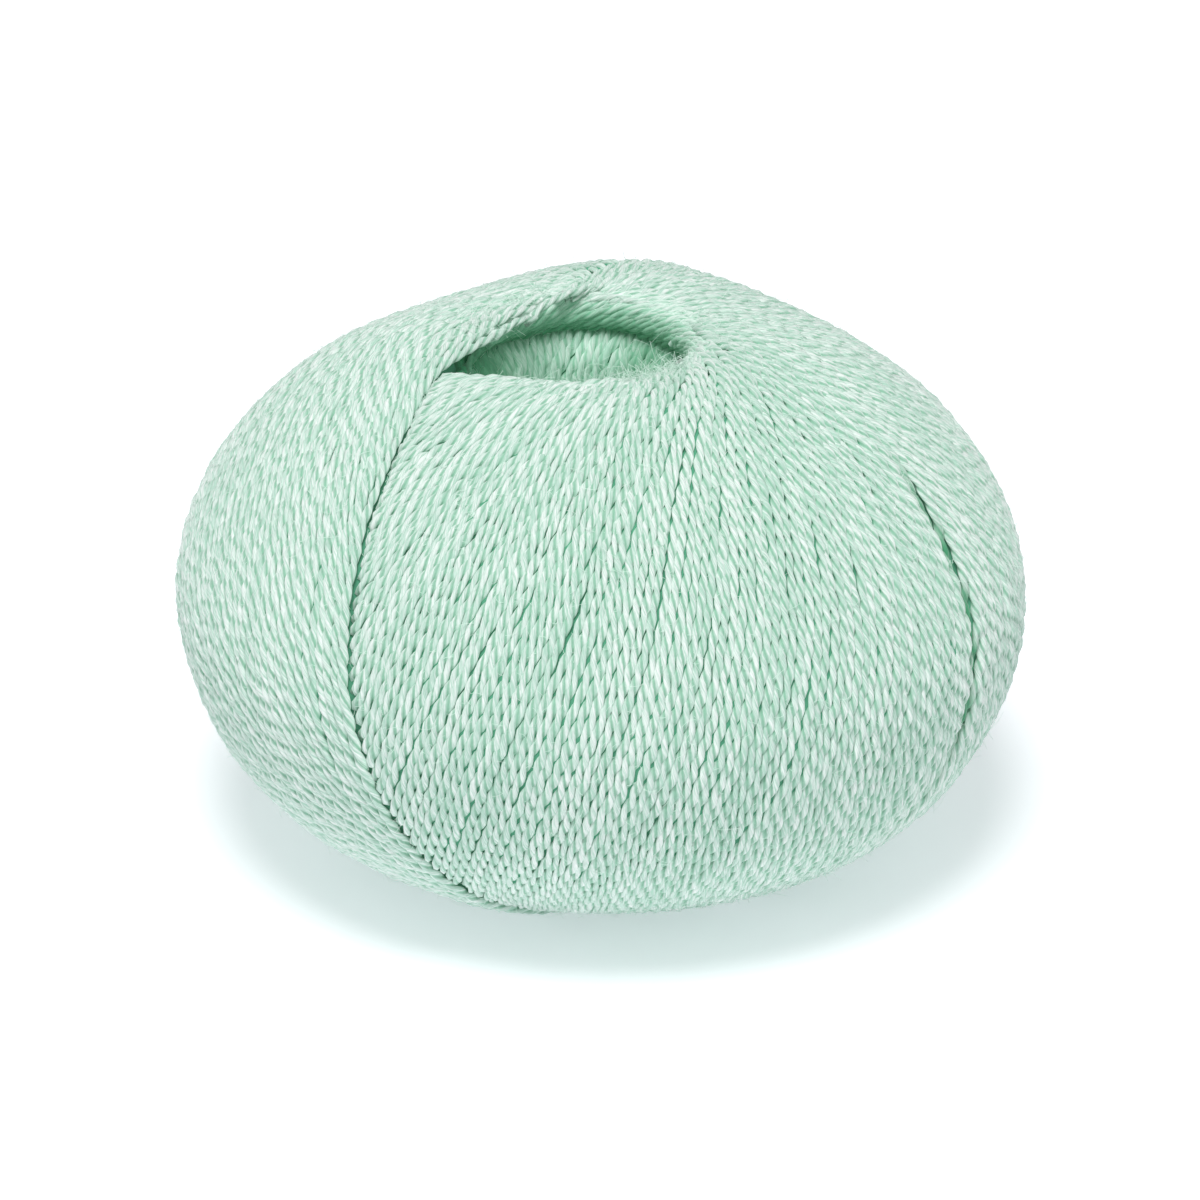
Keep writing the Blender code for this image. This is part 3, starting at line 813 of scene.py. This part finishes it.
# -----------------------------------------------------------------------------------------------------------
# The layers under the surface. They are the same wool, wound before the turns that show, and only seen in
# the gaps between the strands, painted a deep green as shade. The wound form, drawn in a little, stands for
# them.
INNER_DEPTH = 0.72 * MM
INNER_LIP_DEPTH = 2.8 * MM  # how much deeper they lie under the lips
INNER_GROOVE_DEPTH = 1.2 * MM  # and under the groove
INNER_GROOVE_WIDTH = 4.0 * MM
LIP_FROM_AXIS = (13.0 * MM, 18.0 * MM)
LIP_FROM_LEVEL = (10.0 * MM, 22.0 * MM)
LIP_SMOOTHINGS = 8


def painted_shade_wool():
    """The same matt wool where little light reaches it, painted darker as shade, with a faint painted glow.
    """
    material = bpy.data.materials.new("painted_shade_wool")
    material.use_nodes = True
    shader = material.node_tree.nodes["Principled BSDF"]
    # A darker mint as painted shade, and a faint painted glow.
    shader.inputs["Base Color"].default_value = linear("#589C7E")
    shader.inputs["Roughness"].default_value = 1.0
    shader.inputs["Specular IOR Level"].default_value = 0.0
    shader.inputs["Emission Color"].default_value = linear("#ABFFD7")
    shader.inputs["Emission Strength"].default_value = 0.04
    material.cycles.emission_sampling = "NONE"
    return material


inner = bpy.data.objects.new("inner_turns", node.data.copy())
bpy.context.scene.collection.objects.link(inner)
inner.data.materials.clear()
mesh = bmesh.new()
mesh.from_mesh(inner.data)
bmesh.ops.remove_doubles(mesh, verts=mesh.verts, dist=0.01 * MM)
mesh.normal_update()
lip_verts = []
for vert in mesh.verts:
    from_hole_axis = math.hypot(vert.co.x - CENTRE.x - HOLE_SHIFT / 2, vert.co.y)
    under_lip = (1.0 - smooth_step(from_hole_axis, *LIP_FROM_AXIS)) * smooth_step(
        abs(vert.co.z - CENTRE.z), *LIP_FROM_LEVEL)
    by_groove = in_groove(np.array([vert.co]), INNER_GROOVE_WIDTH)[0]
    vert.co -= vert.normal * (INNER_DEPTH + INNER_LIP_DEPTH * under_lip + INNER_GROOVE_DEPTH * by_groove)
    if under_lip > 0.05:
        lip_verts.append(vert)
for _ in range(LIP_SMOOTHINGS):
    bmesh.ops.smooth_vert(mesh, verts=lip_verts, factor=0.5,
                          use_axis_x=True, use_axis_y=True, use_axis_z=True)
mesh.to_mesh(inner.data)
mesh.free()
finish_piece(inner, painted_shade_wool())

# -----------------------------------------------------------------------------------------------------------
# Loose fibres. Fine hairs of the spun wool that stand off the strands all round, most of them in and beside
# the hole and thickest inside its lip at the right front.
HAIR_RADIUS = 0.024 * MM
HAIR_STEPS = 5
HAIR_ROOT = 0.15 * MM  # start of a hair below the strand's surface
HAIR_CURL = 0.28
HAIR_DROOP = 0.12
HAIRS = 5500
HOLE_HAIRS = 1000
PINCH_HAIRS = 600
FLATTEST = 0.05  # how steeply hairs leave the strands, at least
LYING = 0.55  # and at most, for hairs that lie and for hairs that stand
STANDING = 1.8


def hair_piece(name, roots, normals, lengths, steepest):
    """Curved three-sided hairs joined into one mesh."""
    points = []
    faces = []
    sides = 3
    for root, normal, length in zip(roots, normals, lengths):
        aside = rng.normal(0.0, 1.0, 3)
        aside -= normal * aside.dot(normal)
        aside /= np.linalg.norm(aside)
        curl = rng.normal(0.0, 1.0, 3)
        ahead = normal * rng.uniform(FLATTEST, steepest) + aside
        ahead /= np.linalg.norm(ahead)
        spot = root - normal * HAIR_ROOT
        first = len(points)
        for step in range(HAIR_STEPS):
            across = np.cross(ahead, curl)
            across /= np.linalg.norm(across)
            second = np.cross(ahead, across)
            for side in range(sides):
                angle = side * FULL_TURN / sides
                points.append(spot + HAIR_RADIUS * (across * math.cos(angle) + second * math.sin(angle)))
            if step:
                low = first + (step - 1) * sides
                for side in range(sides):
                    after = (side + 1) % sides
                    faces.append((low + side, low + after, low + sides + after, low + sides + side))
            spot = spot + ahead * length / (HAIR_STEPS - 1)
            ahead = ahead + curl * HAIR_CURL - normal * HAIR_DROOP
            ahead /= np.linalg.norm(ahead)
        faces.append((first + 2, first + 1, first))
        last = first + (HAIR_STEPS - 1) * sides
        faces.append((last, last + 1, last + 2))
    mesh = bpy.data.meshes.new(name)
    mesh.from_pydata([tuple(p) for p in points], [], faces)
    hairs = bpy.data.objects.new(name, mesh)
    bpy.context.scene.collection.objects.link(hairs)
    return hairs


def picked(sources, number, keep):
    """Random points and outward directions on the strands of the sources."""
    roots = np.concatenate([np.concatenate(s.roots) for s in sources])
    ups = np.concatenate([np.concatenate(s.ups) for s in sources])
    fit = np.flatnonzero(keep(roots))
    chosen = rng.choice(fit, number)
    return roots[chosen], ups[chosen]


def near(spot, reach, stretch):
    """Test for points within reach of a spot, with each axis measured by its share in stretch."""
    middle = np.array(CENTRE) + np.array(spot)
    return lambda points: np.linalg.norm((points - middle) * stretch, axis=1) < reach


def fibre_wool():
    """Single fine wool hairs, pale because the light passes through them."""
    material = bpy.data.materials.new("fibre_wool")
    material.use_nodes = True
    shader = material.node_tree.nodes["Principled BSDF"]
    shader.inputs["Base Color"].default_value = linear("#D9F0E4")
    shader.inputs["Roughness"].default_value = 0.6
    return material


def above_floor(points):
    return points[:, 2] > 0.0


by_the_hole = wound + [wall_strands]
round_hole = near((HOLE_SHIFT, 0.0, 27.0 * MM), 15.0 * MM, (1.0, 1.0, 0.6))
inside_lip = near((3.5 * MM, -11.0 * MM, 28.5 * MM), 5.0 * MM, (0.7, 1.0, 1.0))
# For each group: where its hairs stand, how many there are, the shape and scale of their random lengths, and
# how steeply they stand.
HAIR_GROUPS = (
    ("loose_fibres", wound, HAIRS, above_floor, (4.0, 0.32 * MM), LYING),
    ("hole_fibres", by_the_hole, HOLE_HAIRS, round_hole, (3.0, 0.6 * MM), LYING),
    ("pinch_fibres", by_the_hole + [lip_strands], PINCH_HAIRS, inside_lip, (3.0, 0.55 * MM), STANDING),
)
fibre = fibre_wool()
for name, sources, number, keep, lengths, steepest in HAIR_GROUPS:
    roots, ups = picked(sources, number, keep)
    finish_piece(hair_piece(name, roots, ups, rng.gamma(*lengths, number), steepest), fibre)

# -----------------------------------------------------------------------------------------------------------
# Floor and light: a plain pale floor, a soft overhead lamp a little to the front, and an even pale studio
# round about.
FLOOR_SIZE = 6.0
bpy.ops.mesh.primitive_plane_add(size=FLOOR_SIZE, location=(0.0, 0.0, 0.0))
floor = bpy.context.active_object
floor.name = "floor"
paper = bpy.data.materials.new("white_paper")
paper.use_nodes = True
paper_shader = paper.node_tree.nodes["Principled BSDF"]
paper_shader.inputs["Base Color"].default_value = linear("#F8F9FC")
paper_shader.inputs["Roughness"].default_value = 0.9
paper_shader.inputs["Emission Strength"].default_value = 0.34
paper_shader.inputs["Emission Color"].default_value = linear("#F7F9FF")
floor.data.materials.append(paper)

world = bpy.data.worlds.new("studio")
bpy.context.scene.world = world
world.use_nodes = True
world.node_tree.nodes["Background"].inputs["Color"].default_value = (1.0, 1.0, 1.0, 1.0)
world.node_tree.nodes["Background"].inputs["Strength"].default_value = 0.40

KEY_PLACE = Vector((-0.06, -0.34, 0.93))
key = bpy.data.lights.new("key_light", "AREA")
key.shape = "DISK"
key.size = 0.45
key.energy = 7.0
lamp = bpy.data.objects.new("key_light", key)
bpy.context.scene.collection.objects.link(lamp)
lamp.location = KEY_PLACE
lamp.rotation_euler = (CENTRE - KEY_PLACE).to_track_quat("-Z", "Y").to_euler()

# -----------------------------------------------------------------------------------------------------------
# Camera, in the photo's framing: in front of the ball and looking down on it.
CAMERA_DISTANCE = 0.708
CAMERA_RISE = math.radians(25.74)
PHOTO_SIDE = 1200.0  # pixels
BALL_RADIUS = 0.05
BALL_RADIUS_SEEN = 423.6 / PHOTO_SIDE  # of the picture's width
BALL_ASIDE = -3.7 / PHOTO_SIDE
BALL_BELOW = -29.3 / PHOTO_SIDE
SENSOR = 36.0  # millimetres
back = Vector((0.0, -math.cos(CAMERA_RISE), math.sin(CAMERA_RISE)))
camera = bpy.data.objects.new("camera", bpy.data.cameras.new("camera"))
bpy.context.scene.collection.objects.link(camera)
bpy.context.scene.camera = camera
camera.location = CENTRE + back * CAMERA_DISTANCE
camera.rotation_euler = (-back).to_track_quat("-Z", "Y").to_euler()
camera.data.sensor_width = SENSOR
camera.data.lens = SENSOR * CAMERA_DISTANCE * BALL_RADIUS_SEEN / BALL_RADIUS
camera.data.shift_x = BALL_ASIDE
camera.data.shift_y = BALL_BELOW
bpy.context.scene.view_settings.view_transform = "Standard"

bpy.context.view_layer.update()
